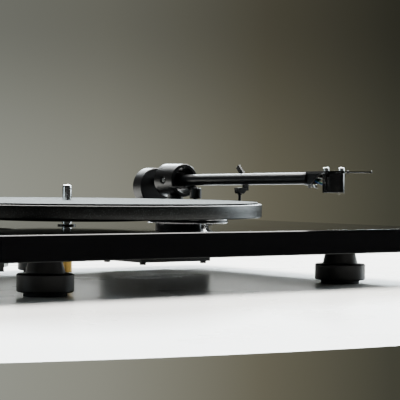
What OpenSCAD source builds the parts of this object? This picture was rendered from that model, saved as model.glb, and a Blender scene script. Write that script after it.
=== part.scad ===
// Slim belt-drive record player: slab plinth on three feet, a 12 inch platter on a
// belt-driven sub-platter, and a gimballed arm parked beside the platter.
// Millimetres. Origin on the shelf under the middle of the plinth; +X right, +Y back, +Z up.

/* [Plinth] */
// Width of the slab, left to right
plinth_w = 415; // [390:1:500]
// Depth of the slab, front to back
plinth_d = 320; // [306:1:400]
// Thickness of the slab
plinth_t = 18; // [16:1:26]
// Chamfer on the slab's edges
plinth_edge = 0.6; // [0.3:0.1:1.5]
// Spindle from the slab's left edge
spindle_inset = 160; // [152:1:190]

/* [Feet] */
// Diameter of a foot's disc
foot_d = 39.5; // [30:0.5:50]
// Height of a foot's disc
foot_disc_h = 12.8; // [10:0.2:20]
// Height of the cone between disc and slab
foot_cone_h = 10.4; // [6:0.2:14]
// Diameter of the cone where it leaves the disc
foot_cone_d = 27.7; // [20:0.1:30]
// Diameter of the cone under the slab
foot_neck_d = 22.7; // [18:0.1:26]
// Thickness of the rubber pad under a foot
pad_t = 2.8; // [1.5:0.1:5]
// Diameter of the rubber pad
pad_d = 30; // [24:0.5:38]
// Foot axis from the slab's left, right and back edges
foot_inset_x = 70.5; // [40:0.5:90]
// Foot axis from the slab's front and back edges
foot_inset_y = 50; // [30:1:70]

/* [Platter] */
// Diameter of the platter
platter_d = 300; // [280:1:310]
// Height of the platter's rim
rim_h = 10; // [7:0.5:16]
// Thickness of the rim wall
rim_t = 4; // [2.5:0.5:8]
// Thickness of the platter's top
platter_top_t = 2.5; // [2:0.1:4]
// Gap between the slab and the rim
platter_gap = 8; // [7.4:0.2:14]
// Diameter of the felt mat
mat_d = 293.6; // [260:0.2:298]
// Thickness of the felt mat
mat_t = 1.5; // [1:0.1:4]
// Diameter of the record spindle
spindle_d = 7.15; // [7.05:0.05:7.25]
// Height of the spindle above the mat
spindle_rise = 12; // [8:0.5:18]
// Diameter of the spindle's neck, below the mat
neck_d = 7.6; // [7.6:0.1:12]

/* [Drive] */
// Diameter of the belt track on the sub-platter
sub_d = 130; // [110:1:150]
// How far the sub-platter hangs below the rim
sub_drop = 3.4; // [2:0.1:4.5]
// Diameter of the pulley's 33 step
pulley_33_d = 17.33; // [14:0.01:20]
// Diameter of the pulley's 45 step
pulley_45_d = 23.4; // [19:0.1:27]
// Motor axis right of the spindle
motor_x = -102; // [-110:1:-96]
// Motor axis behind the spindle
motor_y = -44; // [-60:1:-20]
// Diameter of the motor
motor_d = 40; // [32:0.5:44]
// Height of the motor
motor_h = 22; // [16:0.5:23]
// Width of the flat belt
belt_w = 4; // [3:0.1:5]
// Thickness of the flat belt
belt_t = 0.9; // [0.5:0.1:1.4]

/* [Main bearing] */
// Outer diameter of the brass housing
housing_d = 9; // [8.6:0.1:12]
// Diameter of the journal inside it
journal_d = 6; // [5:0.1:6]
// Lowest point of the housing above the shelf
housing_floor = 8; // [4:0.5:14]
// Diameter of the housing's top flange
flange_d = 13.9; // [12:0.1:20]

/* [Arm] */
// Pivot right of the spindle
pivot_x = 177; // [172:0.5:188]
// Pivot behind the spindle
pivot_y = 95; // [85:0.5:105]
// Pivot to stylus
arm_length = 218.5; // [210:0.5:230]
// Height of the arm's axis above the slab, at the pivot
arm_h = 35.1; // [34:0.1:40]
// Rise of the parked arm towards the headshell, in degrees
arm_rise = 1; // [0:0.1:2]
// Diameter of the arm tube
tube_d = 9.5; // [8:0.1:11]
// Wall of the arm tube
tube_wall = 0.8; // [0.5:0.1:1.5]
// Outer diameter of the gimbal ring
ring_d = 28.8; // [28:0.2:32]
// Wall of the gimbal ring
ring_wall = 2.9; // [2:0.1:3.4]
// Length of the gimbal ring along the arm
ring_l = 26; // [18:0.5:26]
// Diameter of the arm's base disc
base_d = 70; // [62:1:78]
// Thickness of the arm's base disc
base_t = 1.6; // [1.2:0.1:3]
// Diameter of the arm's pedestal
pedestal_d = 41; // [36:0.5:46]
// Height of the pedestal above the slab
pedestal_h = 14; // [12:0.5:16]
// Diameter of the counterweight
weight_d = 33.5; // [28:0.5:36]
// Length of the counterweight
weight_l = 13; // [10:0.5:20]
// Counterweight's front face behind the pivot
weight_back = 29; // [26:0.5:36]
// How far the counterweight hangs below the arm's axis
weight_drop = 5.4; // [3:0.1:7]
// Armrest in front of the pivot
rest_front = 89; // [80:1:110]

/* [Headshell] */
// Offset angle of the headshell
offset_angle = 22; // [18:0.5:26]
// Width of the headshell plate
shell_w = 16; // [15.6:0.2:20]
// Thickness of the headshell plate
shell_t = 1.8; // [1.4:0.1:3]
// Spacing of the cartridge screws
screw_pitch = 12.7; // [12:0.1:13]
// Reach of the finger lift from the plate's side
lift_reach = 23; // [15:0.5:28]
// Width of the cartridge body
cartridge_w = 12.4; // [10:0.1:16]
// Height of the cartridge body below the plate
cartridge_h = 15.2; // [12:0.1:16]

/* [Cueing] */
// Radius of the lift bar about the pivot
lift_r = 25; // [23.4:0.1:27]
// Travel of the lift bar
lift_travel = 5; // [3:0.1:5.5]
// Length of the cue lever's rod
lever_l = 32; // [24:0.5:34]
// Slope of the cue lever when up, in degrees
lever_slope = 18; // [14:0.5:20]

/* [Connections] */
// Width of the connection box
box_w = 74; // [66:1:90]
// Depth of the connection box
box_d = 62; // [50:1:70]
// Height of the connection box
box_h = 17; // [14:0.5:20]
// Diameter of a phono socket's barrel
phono_d = 8.3; // [8.1:0.05:8.4]
// Length of a phono socket's barrel
phono_l = 9; // [7:0.5:11]

/* [Hidden] */
$fn = 72;

seat_gap = 0.05;       // between pieces that are fixed into one another
run_gap = 0.04;        // radial, between a journal and its bore
eps = 0.01;            // lets a cut pass its face
thread_d = 4;          // foot and base screws
screw_head_d = 7.6;
screw_head_h = 3;
screw_bite = 11;       // how far a screw goes into the slab

// Levels above the shelf
slab_bottom = pad_t + foot_disc_h + foot_cone_h;
slab_top = slab_bottom + plinth_t;
rim_bottom = slab_top + platter_gap;
platter_top = rim_bottom + rim_h;
mat_top = platter_top + mat_t;
sub_bottom = rim_bottom - sub_drop;
sub_top = platter_top - platter_top_t;
arm_z = slab_top + arm_h;
pedestal_top = slab_top + pedestal_h;
spindle_x = -plinth_w / 2 + spindle_inset;
foot_x = plinth_w / 2 - foot_inset_x;
foot_y = plinth_d / 2 - foot_inset_y;
foot_places = [[-foot_x, -foot_y], [foot_x, -foot_y], [0, foot_y]];

module at_spindle() translate([spindle_x, 0, 0]) children();
module at_motor() translate([spindle_x + motor_x, motor_y, 0]) children();
module at_pivot() translate([spindle_x + pivot_x, pivot_y, 0]) children();
// The arm's own frame: origin at the pivot, the tube along -Y
module in_arm() at_pivot() translate([0, 0, arm_z]) rotate([-arm_rise, 0, 0]) children();
module tube_y(d, y0, y1) translate([0, y0, 0]) rotate([-90, 0, 0]) cylinder(d = d, h = y1 - y0);
module rod_x(d, x0, x1) translate([x0, 0, 0]) rotate([0, 90, 0]) cylinder(d = d, h = x1 - x0);

// ---------------------------------------------------------------- plinth and feet
slab_hole_d = motor_d + 6;      // the motor hangs in it on its rubber ring
nut_pocket_d = 20;
nut_pocket_h = 5;
nut_flats = 14;
nut_h = 4;
cable_hole_d = 18;

module slab_edge_cut(length) {
    side = plinth_edge * sqrt(2);
    rotate([45, 0, 0]) cube([length, side, side], center = true);
}

module slab() {
    difference() {
        translate([-plinth_w / 2, -plinth_d / 2, slab_bottom]) cube([plinth_w, plinth_d, plinth_t]);
        for (z = [slab_bottom, slab_top]) {
            for (s = [-1, 1]) {
                translate([0, s * plinth_d / 2, z]) slab_edge_cut(plinth_w + 2);
                translate([s * plinth_w / 2, 0, z]) rotate([0, 0, 90]) slab_edge_cut(plinth_d + 2);
            }
        }
        for (sx = [-1, 1], sy = [-1, 1])
            translate([sx * plinth_w / 2, sy * plinth_d / 2, slab_bottom + plinth_t / 2])
                rotate([0, 90, 0]) slab_edge_cut(plinth_t + 2);
    }
}

module screw_hole(d) translate([0, 0, slab_bottom - eps])
    cylinder(d = d + 2 * seat_gap, h = screw_bite + 0.5);

// A round hole right through the slab
module slab_hole(d) translate([0, 0, slab_bottom - 1]) cylinder(d = d, h = plinth_t + 2);

module plinth() {
    color([0.05, 0.05, 0.055]) difference() {
        slab();
        at_spindle() slab_hole(housing_d + 2 * seat_gap);
        at_spindle() translate([0, 0, slab_bottom - eps]) cylinder(d = nut_pocket_d, h = nut_pocket_h);
        at_motor() slab_hole(slab_hole_d);
        at_pivot() slab_hole(cable_hole_d);
        for (p = foot_places) translate([p[0], p[1], 0]) screw_hole(thread_d);
        at_motor() motor_screw_places() screw_hole(motor_screw_d);
        at_pivot() base_screw_places() translate([0, 0, slab_top - base_screw_bite])
            cylinder(d = base_screw_d + 2 * seat_gap, h = base_screw_bite + 1);
        at_box() box_screw_places() screw_hole(box_screw_d);
    }
}

foot_bore_d = thread_d + 0.4;
foot_sink_d = 9;
foot_sink_h = 8;
foot_edge = 0.9;

module foot() {
    color([0.07, 0.07, 0.075]) difference() {
        rotate_extrude() polygon([
            [0, pad_t], [foot_d / 2 - foot_edge, pad_t], [foot_d / 2, pad_t + foot_edge],
            [foot_d / 2, pad_t + foot_disc_h - foot_edge], [foot_d / 2 - foot_edge, pad_t + foot_disc_h],
            [foot_cone_d / 2, pad_t + foot_disc_h], [foot_neck_d / 2, slab_bottom], [0, slab_bottom]
        ]);
        translate([0, 0, -eps]) cylinder(d = foot_bore_d, h = slab_bottom + 1);
        translate([0, 0, pad_t - eps]) cylinder(d = foot_sink_d, h = foot_sink_h + eps);
    }
}

module foot_front_left() translate([-foot_x, -foot_y, 0]) foot();
module foot_front_right() translate([foot_x, -foot_y, 0]) foot();
module foot_rear() translate([0, foot_y, 0]) foot();

module foot_pads() {
    color([0.12, 0.12, 0.12]) for (p = foot_places) translate([p[0], p[1], 0])
        difference() {
            cylinder(d = pad_d, h = pad_t);
            translate([0, 0, -1]) cylinder(d = foot_sink_d, h = pad_t + 2);
        }
}

// A screw pointing up, with the underside of its head at z = 0
module pan_screw(d, bite, head_d, head_h) {
    slot_w = head_d / 6;
    difference() {
        translate([0, 0, -head_h]) cylinder(d = head_d, h = head_h);
        translate([0, 0, -head_h]) cube([head_d * 0.7, slot_w, head_h], center = true);
        translate([0, 0, -head_h]) cube([slot_w, head_d * 0.7, head_h], center = true);
    }
    cylinder(d = d, h = bite);
}

module foot_screws() {
    color([0.7, 0.7, 0.7]) for (p = foot_places) translate([p[0], p[1], pad_t + foot_sink_h])
        pan_screw(thread_d, slab_bottom - pad_t - foot_sink_h + screw_bite, screw_head_d, screw_head_h);
}

// ---------------------------------------------------------------- main bearing and platter
flange_t = 1;
bush_d = 7.4;
bush_l = 8;
housing_end_t = 1.5;
ball_d = 4;
housing_bore_d = journal_d + 2 * run_gap;
bush_levels = [housing_floor + housing_end_t + ball_d + 1, slab_top - bush_l - 1];

module bearing_housing() {
    color([0.78, 0.62, 0.3]) at_spindle() difference() {
        union() {
            translate([0, 0, housing_floor]) cylinder(d = housing_d, h = slab_top - housing_floor);
            translate([0, 0, slab_top]) cylinder(d = flange_d, h = flange_t);
        }
        translate([0, 0, housing_floor + housing_end_t]) cylinder(d = bush_d, h = slab_top);
    }
}

module bearing_bushes() {
    color([0.65, 0.45, 0.25]) at_spindle() for (z = bush_levels) translate([0, 0, z])
        difference() {
            cylinder(d = bush_d - 0.02, h = bush_l);
            translate([0, 0, -1]) cylinder(d = housing_bore_d, h = bush_l + 2);
        }
}

module bearing_nut() {
    color([0.75, 0.6, 0.3]) at_spindle() translate([0, 0, slab_bottom + nut_pocket_h - nut_h]) difference() {
        cylinder(d = nut_flats / cos(30), h = nut_h - seat_gap, $fn = 6);
        translate([0, 0, -1]) cylinder(d = housing_d + 2 * seat_gap, h = nut_h + 2);
    }
}

module thrust_ball() {
    color([0.8, 0.8, 0.82]) at_spindle()
        translate([0, 0, housing_floor + housing_end_t + ball_d / 2 + eps]) sphere(d = ball_d);
}

spindle_shoulder = slab_top + flange_t + 0.4;
spindle_top = mat_top + spindle_rise;
spindle_nose_h = 3;
spindle_nose_d = 4.6;

module spindle_shaft() {
    journal_foot = housing_floor + housing_end_t + ball_d + 2 * eps;
    color([0.82, 0.82, 0.84]) at_spindle() rotate_extrude() polygon([
        [0, journal_foot], [journal_d / 2 - 0.5, journal_foot], [journal_d / 2, journal_foot + 0.5],
        [journal_d / 2, spindle_shoulder], [neck_d / 2, spindle_shoulder],
        [neck_d / 2, platter_top], [spindle_d / 2, platter_top],
        [spindle_d / 2, spindle_top - spindle_nose_h],
        for (a = [15 : 15 : 75]) [
            spindle_nose_d / 2 + (spindle_d - spindle_nose_d) / 2 * cos(a),
            spindle_top - spindle_nose_h + (spindle_nose_h - 0.3) * sin(a)],
        [spindle_nose_d / 2, spindle_top - 0.3], [spindle_nose_d / 2 - 0.6, spindle_top], [0, spindle_top]
    ]);
}

bore_gap = 0.08;
sub_edge = 0.6;

module sub_platter() {
    r = sub_d / 2;
    bore_r = neck_d / 2 + 0.02;
    color([0.12, 0.12, 0.13]) at_spindle() rotate_extrude() polygon([
        [bore_r, sub_bottom], [r - sub_edge, sub_bottom], [r, sub_bottom + sub_edge],
        [r, sub_top], [bore_r, sub_top]
    ]);
}

rim_edge = 0.6;
mat_hole_d = spindle_d + 1.6;

module platter() {
    r = platter_d / 2;
    bore_r = neck_d / 2 + bore_gap;
    color([0.06, 0.06, 0.065]) at_spindle() rotate_extrude() polygon([
        [bore_r, sub_top], [r, sub_top], [r, platter_top - rim_edge], [r - rim_edge, platter_top],
        [bore_r, platter_top]
    ]);
}

// The ring bonded under the platter's edge
module platter_rim() {
    r = platter_d / 2;
    color([0.06, 0.06, 0.065]) at_spindle() rotate_extrude() polygon([
        [r - rim_t, rim_bottom], [r - rim_edge, rim_bottom], [r, rim_bottom + rim_edge], [r, sub_top],
        [r - rim_t, sub_top]
    ]);
}

module mat() {
    color([0.35, 0.35, 0.35]) at_spindle() translate([0, 0, platter_top]) difference() {
        cylinder(d = mat_d, h = mat_t);
        translate([0, 0, -1]) cylinder(d = mat_hole_d, h = mat_t + 2);
    }
}

// ---------------------------------------------------------------- motor and belt
motor_bottom = slab_bottom - 8.6;
motor_screw_d = 3;
motor_screw_r = slab_hole_d / 2 + 5;
bracket_d = 2 * motor_screw_r + 9;
bracket_t = 1.5;
grommet_d = motor_d + 4;
grommet_h = 5;
shaft_d = 2.5;
pulley_bottom = slab_top + 3.4;
pulley_step = 5;
pulley_top = pulley_bottom + 2 * pulley_step;
belt_level = pulley_bottom + 1.5 * pulley_step;
belt_gap = 0.35;

module motor_screw_places() for (a = [30, 150, 270]) rotate(a) translate([motor_screw_r, 0, 0]) children();

module motor_body() {
    color([0.6, 0.6, 0.62]) at_motor() difference() {
        union() {
            translate([0, 0, motor_bottom]) cylinder(d = motor_d, h = motor_h);
            translate([0, 0, motor_bottom + motor_h]) cylinder(d = 9, h = 1.6);
        }
        translate([0, 0, motor_bottom + motor_h / 2]) cylinder(d = shaft_d + 0.3, h = motor_h);
    }
}

module motor_grommet() {
    color([0.1, 0.1, 0.1]) at_motor() translate([0, 0, slab_bottom - bracket_t - 1]) difference() {
        cylinder(d = grommet_d, h = grommet_h);
        translate([0, 0, -1]) cylinder(d = motor_d + 2 * seat_gap, h = grommet_h + 2);
    }
}

module motor_bracket() {
    color([0.55, 0.55, 0.56]) at_motor() translate([0, 0, slab_bottom - bracket_t]) difference() {
        cylinder(d = bracket_d, h = bracket_t);
        translate([0, 0, -1]) cylinder(d = grommet_d + 2 * seat_gap, h = bracket_t + 2);
        translate([0, 0, -1]) motor_screw_places() cylinder(d = motor_screw_d + 0.3, h = bracket_t + 2);
    }
}

module motor_screws() {
    color([0.7, 0.7, 0.7]) at_motor() motor_screw_places() translate([0, 0, slab_bottom - bracket_t])
        pan_screw(motor_screw_d, bracket_t + screw_bite, 5.6, 2);
}

module motor_shaft() {
    color([0.8, 0.8, 0.8]) at_motor()
        translate([0, 0, motor_bottom + motor_h / 2 + 1])
            cylinder(d = shaft_d, h = pulley_top - motor_bottom - motor_h / 2);
}

module pulley() {
    flare = 0.5;
    color([0.75, 0.75, 0.77]) at_motor() difference() {
        rotate_extrude() polygon([
            [0, pulley_bottom], [pulley_45_d / 2 + flare, pulley_bottom],
            [pulley_45_d / 2, pulley_bottom + flare], [pulley_45_d / 2, pulley_bottom + pulley_step - flare],
            [pulley_45_d / 2 + flare, pulley_bottom + pulley_step],
            [pulley_33_d / 2, pulley_bottom + pulley_step],
            [pulley_33_d / 2, pulley_top - flare], [pulley_33_d / 2 + flare, pulley_top], [0, pulley_top]
        ]);
        translate([0, 0, pulley_bottom - 1]) cylinder(d = shaft_d + 0.02, h = 2 * pulley_step + 2);
    }
}

// Outline round both belt tracks, grown by g
module belt_outline(g) {
    run = norm([motor_x, motor_y]);
    big_r = sub_d / 2 + g;
    small_r = pulley_33_d / 2 + g;
    lean = acos((big_r - small_r) / run);
    rotate(atan2(motor_y, motor_x)) {
        circle(r = big_r);
        translate([run, 0]) circle(r = small_r);
        polygon([
            [big_r * cos(lean), big_r * sin(lean)], [run + small_r * cos(lean), small_r * sin(lean)],
            [run + small_r * cos(lean), -small_r * sin(lean)], [big_r * cos(lean), -big_r * sin(lean)]
        ]);
    }
}

module drive_belt() {
    color([0.15, 0.15, 0.15]) at_spindle() translate([0, 0, belt_level - belt_w / 2])
        linear_extrude(belt_w) difference() {
            belt_outline(belt_gap + belt_t);
            belt_outline(belt_gap);
        }
}

// ---------------------------------------------------------------- power switch
switch_x = -plinth_w / 2 + 17.5;
switch_y = -plinth_d / 2 + 40;
switch_w = 14;
switch_l = 24;
switch_h = 7;
rocker_w = 8;
rocker_l = 17;
rocker_tilt = 7;
rocker_out = 2.2;

module at_switch() translate([switch_x, switch_y, slab_bottom - switch_h]) children();

module switch_housing() {
    color([0.08, 0.08, 0.08]) at_switch() difference() {
        translate([-switch_w / 2, -switch_l / 2, 0]) cube([switch_w, switch_l, switch_h]);
        translate([-rocker_w / 2 - 0.4, -rocker_l / 2 - 0.8, -1])
            cube([rocker_w + 0.8, rocker_l + 1.6, switch_h - 1]);
    }
}

module power_rocker() {
    color([0.1, 0.1, 0.1]) at_switch() translate([0, 0, 1]) rotate([rocker_tilt, 0, 0]) intersection() {
        rod_x(rocker_l - 1, -rocker_w / 2, rocker_w / 2);
        translate([-rocker_w / 2, -rocker_l / 2, -rocker_out]) cube([rocker_w, rocker_l, rocker_out + 1.6]);
    }
}

// ---------------------------------------------------------------- arm base and bearings
base_front = 18;            // middle of the base disc in front of the pivot
pedestal_front = 5;
base_screw_d = 3;
base_screw_bite = 9;
bearing_d = 13;
bearing_h = 4;
swing_d = 6;
bearing_levels = [slab_top + 1, pedestal_top - bearing_h];
arm_beam_w = 6;
arm_beam_h = 4;
arm_beam_z = slab_top + 8.5;
post_d = 2.4;
post_boss_d = 7;
tower_gap = 0.3;            // round the lift tower and the lever, in the pedestal's recess

module base_screw_places() for (a = [0, 180, 270])
    translate([(base_d / 2 - 5) * cos(a), (base_d / 2 - 5) * sin(a) - base_front, 0]) children();

module arm_base() {
    beam_start = [-10, -pedestal_front - pedestal_d / 2 + 5];
    color([0.06, 0.06, 0.065]) at_pivot() difference() {
        union() {
            translate([0, -base_front, slab_top]) rotate_extrude() polygon([
                [0, 0], [base_d / 2, 0], [base_d / 2, base_t - 0.4],
                [base_d / 2 - 0.4, base_t], [0, base_t]]);
            translate([0, -pedestal_front, slab_top]) rotate_extrude() polygon([
                [0, 0], [pedestal_d / 2, 0], [pedestal_d / 2, pedestal_h - 1],
                [pedestal_d / 2 - 1, pedestal_h], [0, pedestal_h]]);
            translate([0, 0, arm_beam_z]) linear_extrude(arm_beam_h) polygon([
                beam_start + [-arm_beam_w / 2, 0], [-arm_beam_w / 2, -rest_front],
                [arm_beam_w / 2, -rest_front], beam_start + [arm_beam_w / 2, 0]]);
            translate([0, -rest_front, arm_beam_z]) cylinder(d = post_boss_d, h = arm_beam_h + 1.5);
        }
        translate([0, 0, slab_top - 1]) cylinder(d = bearing_d + 2 * seat_gap, h = pedestal_h + 2);
        base_screw_places() translate([0, 0, slab_top - 1]) cylinder(d = base_screw_d + 0.3, h = base_t + 2);
        translate([0, -rest_front, arm_beam_z + 1]) cylinder(d = post_d + 0.04, h = arm_beam_h + 2);
        at_tower() translate([0, 0, slab_top + base_t]) {
            cylinder(d = tower_d + 2 * tower_gap, h = pedestal_h);
            translate([0, -tower_d, 0]) cube([
                lever_hub_x1 - tower_x + 2 * tower_gap, tower_d + lever_hub_d / 2 + tower_gap, pedestal_h]);
        }
    }
}

module arm_base_screws() {
    color([0.7, 0.7, 0.7]) at_pivot() base_screw_places() translate([0, 0, slab_top + base_t])
        mirror([0, 0, 1]) pan_screw(base_screw_d, base_t + base_screw_bite - 0.5, 5.6, 1.6);
}

module arm_bearings() {
    color([0.75, 0.75, 0.77]) at_pivot() for (z = bearing_levels) translate([0, 0, z]) difference() {
        cylinder(d = bearing_d, h = bearing_h);
        translate([0, 0, -1]) cylinder(d = swing_d + 2 * run_gap, h = bearing_h + 2);
    }
}

ring_bottom = arm_z - ring_d / 2;
saddle_d = 14;
saddle_bottom = pedestal_top + 0.8;

swing_top = ring_bottom + ring_wall / 2;

module swing_shaft() {
    color([0.8, 0.8, 0.82]) at_pivot() translate([0, 0, slab_top + 0.5])
        cylinder(d = swing_d, h = swing_top - slab_top - 0.5);
}

pivot_screw_d = 4;
cone_d = 8;
cone_deep = 1.6;

module gimbal_ring() {
    inner_d = ring_d - 2 * ring_wall;
    rim = 0.5;
    color([0.07, 0.07, 0.075]) at_pivot() difference() {
        union() {
            translate([0, ring_l / 2, arm_z]) rotate([90, 0, 0]) rotate_extrude() polygon([
                [0, 0], [ring_d / 2 - rim, 0], [ring_d / 2, rim], [ring_d / 2, ring_l - rim],
                [ring_d / 2 - rim, ring_l], [0, ring_l]]);
            translate([0, 0, saddle_bottom]) cylinder(d = saddle_d, h = arm_z - saddle_bottom - inner_d / 2);
        }
        translate([0, 0, arm_z]) tube_y(inner_d, -ring_l, ring_l);
        translate([0, 0, arm_z]) rod_x(pivot_screw_d + 2 * seat_gap, -ring_d, ring_d);
        for (s = [-1, 1]) translate([s * (ring_d / 2 + eps), 0, arm_z]) rotate([0, -s * 90, 0])
            cylinder(d1 = cone_d, d2 = pivot_screw_d, h = cone_deep);
        translate([0, 0, slab_top]) cylinder(d = swing_d + 0.02, h = swing_top - slab_top + eps);
    }
}

sleeve_d = 15;
sleeve_l = 14;
pin_d = 2;
pin_bite = 2;

module pivot_screws() {
    slot = 0.8;
    sunk = 0.7;
    color([0.8, 0.8, 0.82]) at_pivot() translate([0, 0, arm_z]) for (s = [0, 180]) rotate([0, 0, s])
        difference() {
            union() {
                rod_x(pivot_screw_d, sleeve_d / 2 + 0.6, ring_d / 2 - sunk);
                rod_x(pin_d, sleeve_d / 2 - pin_bite, sleeve_d / 2 + 1);
            }
            translate([ring_d / 2 - sunk, 0, 0]) cube([1.4, slot, pivot_screw_d + 1], center = true);
        }
}

module pivot_sleeve() {
    color([0.1, 0.1, 0.1]) in_arm() difference() {
        tube_y(sleeve_d, -sleeve_l / 2, sleeve_l / 2);
        tube_y(tube_d + 0.04, -sleeve_l, sleeve_l);
        for (s = [0, 180]) rotate([0, 0, s]) rod_x(pin_d + 2 * run_gap, tube_d / 2, sleeve_d);
    }
}

// ---------------------------------------------------------------- arm tube and counterweight
tube_rear = 15;
collar_front = 177;         // front of the collar, where the headshell starts
collar_l = 3.5;
collar_d = 11;
stub_d = 8.2;
stub_plug = 12;             // how far the rear stub goes into the tube
stub_end = weight_back + weight_l + 9;
weight_travel = 4;

module arm_tube() {
    color([0.08, 0.08, 0.085]) in_arm() difference() {
        tube_y(tube_d, -collar_front + 0.5, tube_rear);
        tube_y(tube_d - 2 * tube_wall, -collar_front, tube_rear + 1);
    }
}

module rear_stub() {
    color([0.6, 0.6, 0.62]) in_arm() {
        tube_y(tube_d - 2 * tube_wall - 2 * seat_gap, tube_rear - stub_plug, tube_rear);
        tube_y(tube_d, tube_rear, tube_rear + 3);
        tube_y(stub_d, tube_rear + 3, stub_end);
    }
}

weight_screw_d = 3;

module counterweight() {
    edge = 0.7;
    r = weight_d / 2;
    color([0.07, 0.07, 0.075]) in_arm() difference() {
        translate([0, weight_back, -weight_drop]) rotate([-90, 0, 0]) rotate_extrude() polygon([
            [0, 0], [r - edge, 0], [r, edge], [r, weight_l - edge], [r - edge, weight_l], [0, weight_l]]);
        tube_y(stub_d + 2 * run_gap, weight_back - 1, weight_back + weight_l + 1);
        translate([0, weight_back + weight_l / 2, 0])
            cylinder(d = weight_screw_d + 2 * seat_gap, h = weight_d);
    }
}

module counterweight_screw() {
    top = weight_d / 2 - weight_drop;
    foot = stub_d / 2 + 0.3;
    color([0.5, 0.5, 0.5]) in_arm() translate([0, weight_back + weight_l / 2, 0]) difference() {
        translate([0, 0, foot]) cylinder(d = weight_screw_d, h = top - foot - 1);
        translate([0, 0, top - 2.2]) cylinder(d = 1.6, h = 2);
    }
}

// ---------------------------------------------------------------- headshell and cartridge
// The plate turns by the offset angle at this point of the tube's line
screw_s = 14;               // cartridge screws ahead of the turning point
stylus_s = screw_s + 8.5;
turn_y = sqrt(pow(arm_length, 2) - pow(stylus_s * sin(offset_angle), 2)) - stylus_s * cos(offset_angle);
shell_top = tube_d / 2 + 0.6;
shell_bottom = shell_top - shell_t;
shell_front = screw_s + 4;
shell_back = 4;
cartridge_screw_d = 2.5;
body_front = screw_s + 8;
body_back = screw_s - 8.8;
ear_w = 16.6;
ear_t = 2.9;
ear_l = 7;

module in_headshell() in_arm() translate([0, -turn_y, 0]) rotate([0, 0, -offset_angle]) children();
module cartridge_screw_places() for (s = [-1, 1]) translate([s * screw_pitch / 2, -screw_s, 0]) children();

keel_w = 7.6;
keel_l = 15;
wire_bore_d = 5;
channel_start = 5;          // the keel is open below from here on, ahead of the collar
shell_corner = 1.2;

// A point of the headshell's plane, in the arm's frame
function shell_xy(x, y) = [
    x * cos(offset_angle) + y * sin(offset_angle),
    -turn_y - x * sin(offset_angle) + y * cos(offset_angle)
];

module shell_outline() {
    half = shell_w / 2;
    polygon([
        [-keel_w / 2 - 1, -collar_front + 0.1], shell_xy(-half, -shell_back),
        shell_xy(-half, -shell_front + shell_corner), shell_xy(-half + shell_corner, -shell_front),
        shell_xy(half - shell_corner, -shell_front), shell_xy(half, -shell_front + shell_corner),
        shell_xy(half, -shell_back), [keel_w / 2 + 1, -collar_front + 0.1]
    ]);
}

// Wedge under the plate, behind the cartridge
module keel() {
    y0 = -collar_front + 0.1;
    z0 = -tube_d / 2;
    translate([-keel_w / 2, 0, 0]) rotate([90, 0, 90]) linear_extrude(keel_w) polygon([
        [y0, shell_bottom + 0.5], [y0, z0], [y0 - 5, z0],
        [y0 - keel_l, shell_bottom], [y0 - keel_l, shell_bottom + 0.5]
    ]);
}

module headshell() {
    color([0.06, 0.06, 0.065]) in_arm() difference() {
        union() {
            tube_y(collar_d, -collar_front, -collar_front + collar_l);
            translate([0, 0, shell_bottom]) linear_extrude(shell_t) shell_outline();
            keel();
        }
        tube_y(tube_d + 0.02, -collar_front + 0.5, 0);
        tube_y(wire_bore_d, -collar_front - keel_l - 1, 0);
        translate([-wire_bore_d / 2, -collar_front - keel_l - 1, -tube_d])
            cube([wire_bore_d, keel_l + 1 - channel_start, tube_d]);
        translate([0, -turn_y, 0]) rotate([0, 0, -offset_angle]) {
            cartridge_screw_places() cylinder(d = cartridge_screw_d + 0.1, h = 20, center = true);
            translate([shell_w / 2 - 3, -screw_s - lift_ahead, (shell_top + shell_bottom) / 2])
                rod_x(lift_pin_d + 0.02, 0, 4);
        }
        translate([0, -collar_front - 3, -tube_d]) cylinder(d = clamp_d + 2 * seat_gap, h = tube_d / 2 + 1.6);
    }
}

lift_pin_d = 1;
lift_ahead = 2;             // finger lift ahead of the cartridge screws
lift_w = 3.6;
lift_t = 1.2;
lift_ring_d = 2.8;

module finger_lift() {
    mid_z = (shell_top + shell_bottom) / 2;
    color([0.06, 0.06, 0.065]) in_headshell() translate([shell_w / 2, -screw_s - lift_ahead, mid_z]) {
        rod_x(lift_pin_d, -2.9, 3);
        rod_x(lift_ring_d, 2.4, 3.4);
        translate([0.1, -lift_w / 2, -lift_t / 2]) cube([lift_reach - lift_w / 2, lift_w, lift_t]);
        translate([lift_reach - lift_w / 2, 0, -lift_t / 2]) cylinder(d = lift_w, h = lift_t);
        rod_x(1.9, lift_reach - 0.6, lift_reach);
    }
}

clamp_d = 2;

// The thumb screw under the collar that fixes the headshell's tilt
module clamp_screw() {
    top = -tube_d / 2 + tube_wall;
    wing_w = 3.6;
    wing_h = 3;
    wing_t = 0.8;
    color([0.8, 0.8, 0.82]) in_arm() translate([0, -collar_front - 3, 0]) {
        translate([0, 0, top - 2.6]) cylinder(d = clamp_d, h = 2.4);
        translate([0, 0, -tube_d / 2 - 2.6]) cylinder(d = 2.8, h = 2);
        for (s = [0, 180]) rotate([0, 0, s]) translate([0.8, wing_t / 2, -tube_d / 2 - 2.6])
            rotate([90, 0, 0]) linear_extrude(wing_t)
                polygon([[0, 0.5], [wing_w, -0.6], [wing_w, wing_h - 0.6], [0, 1.6]]);
    }
}

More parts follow.
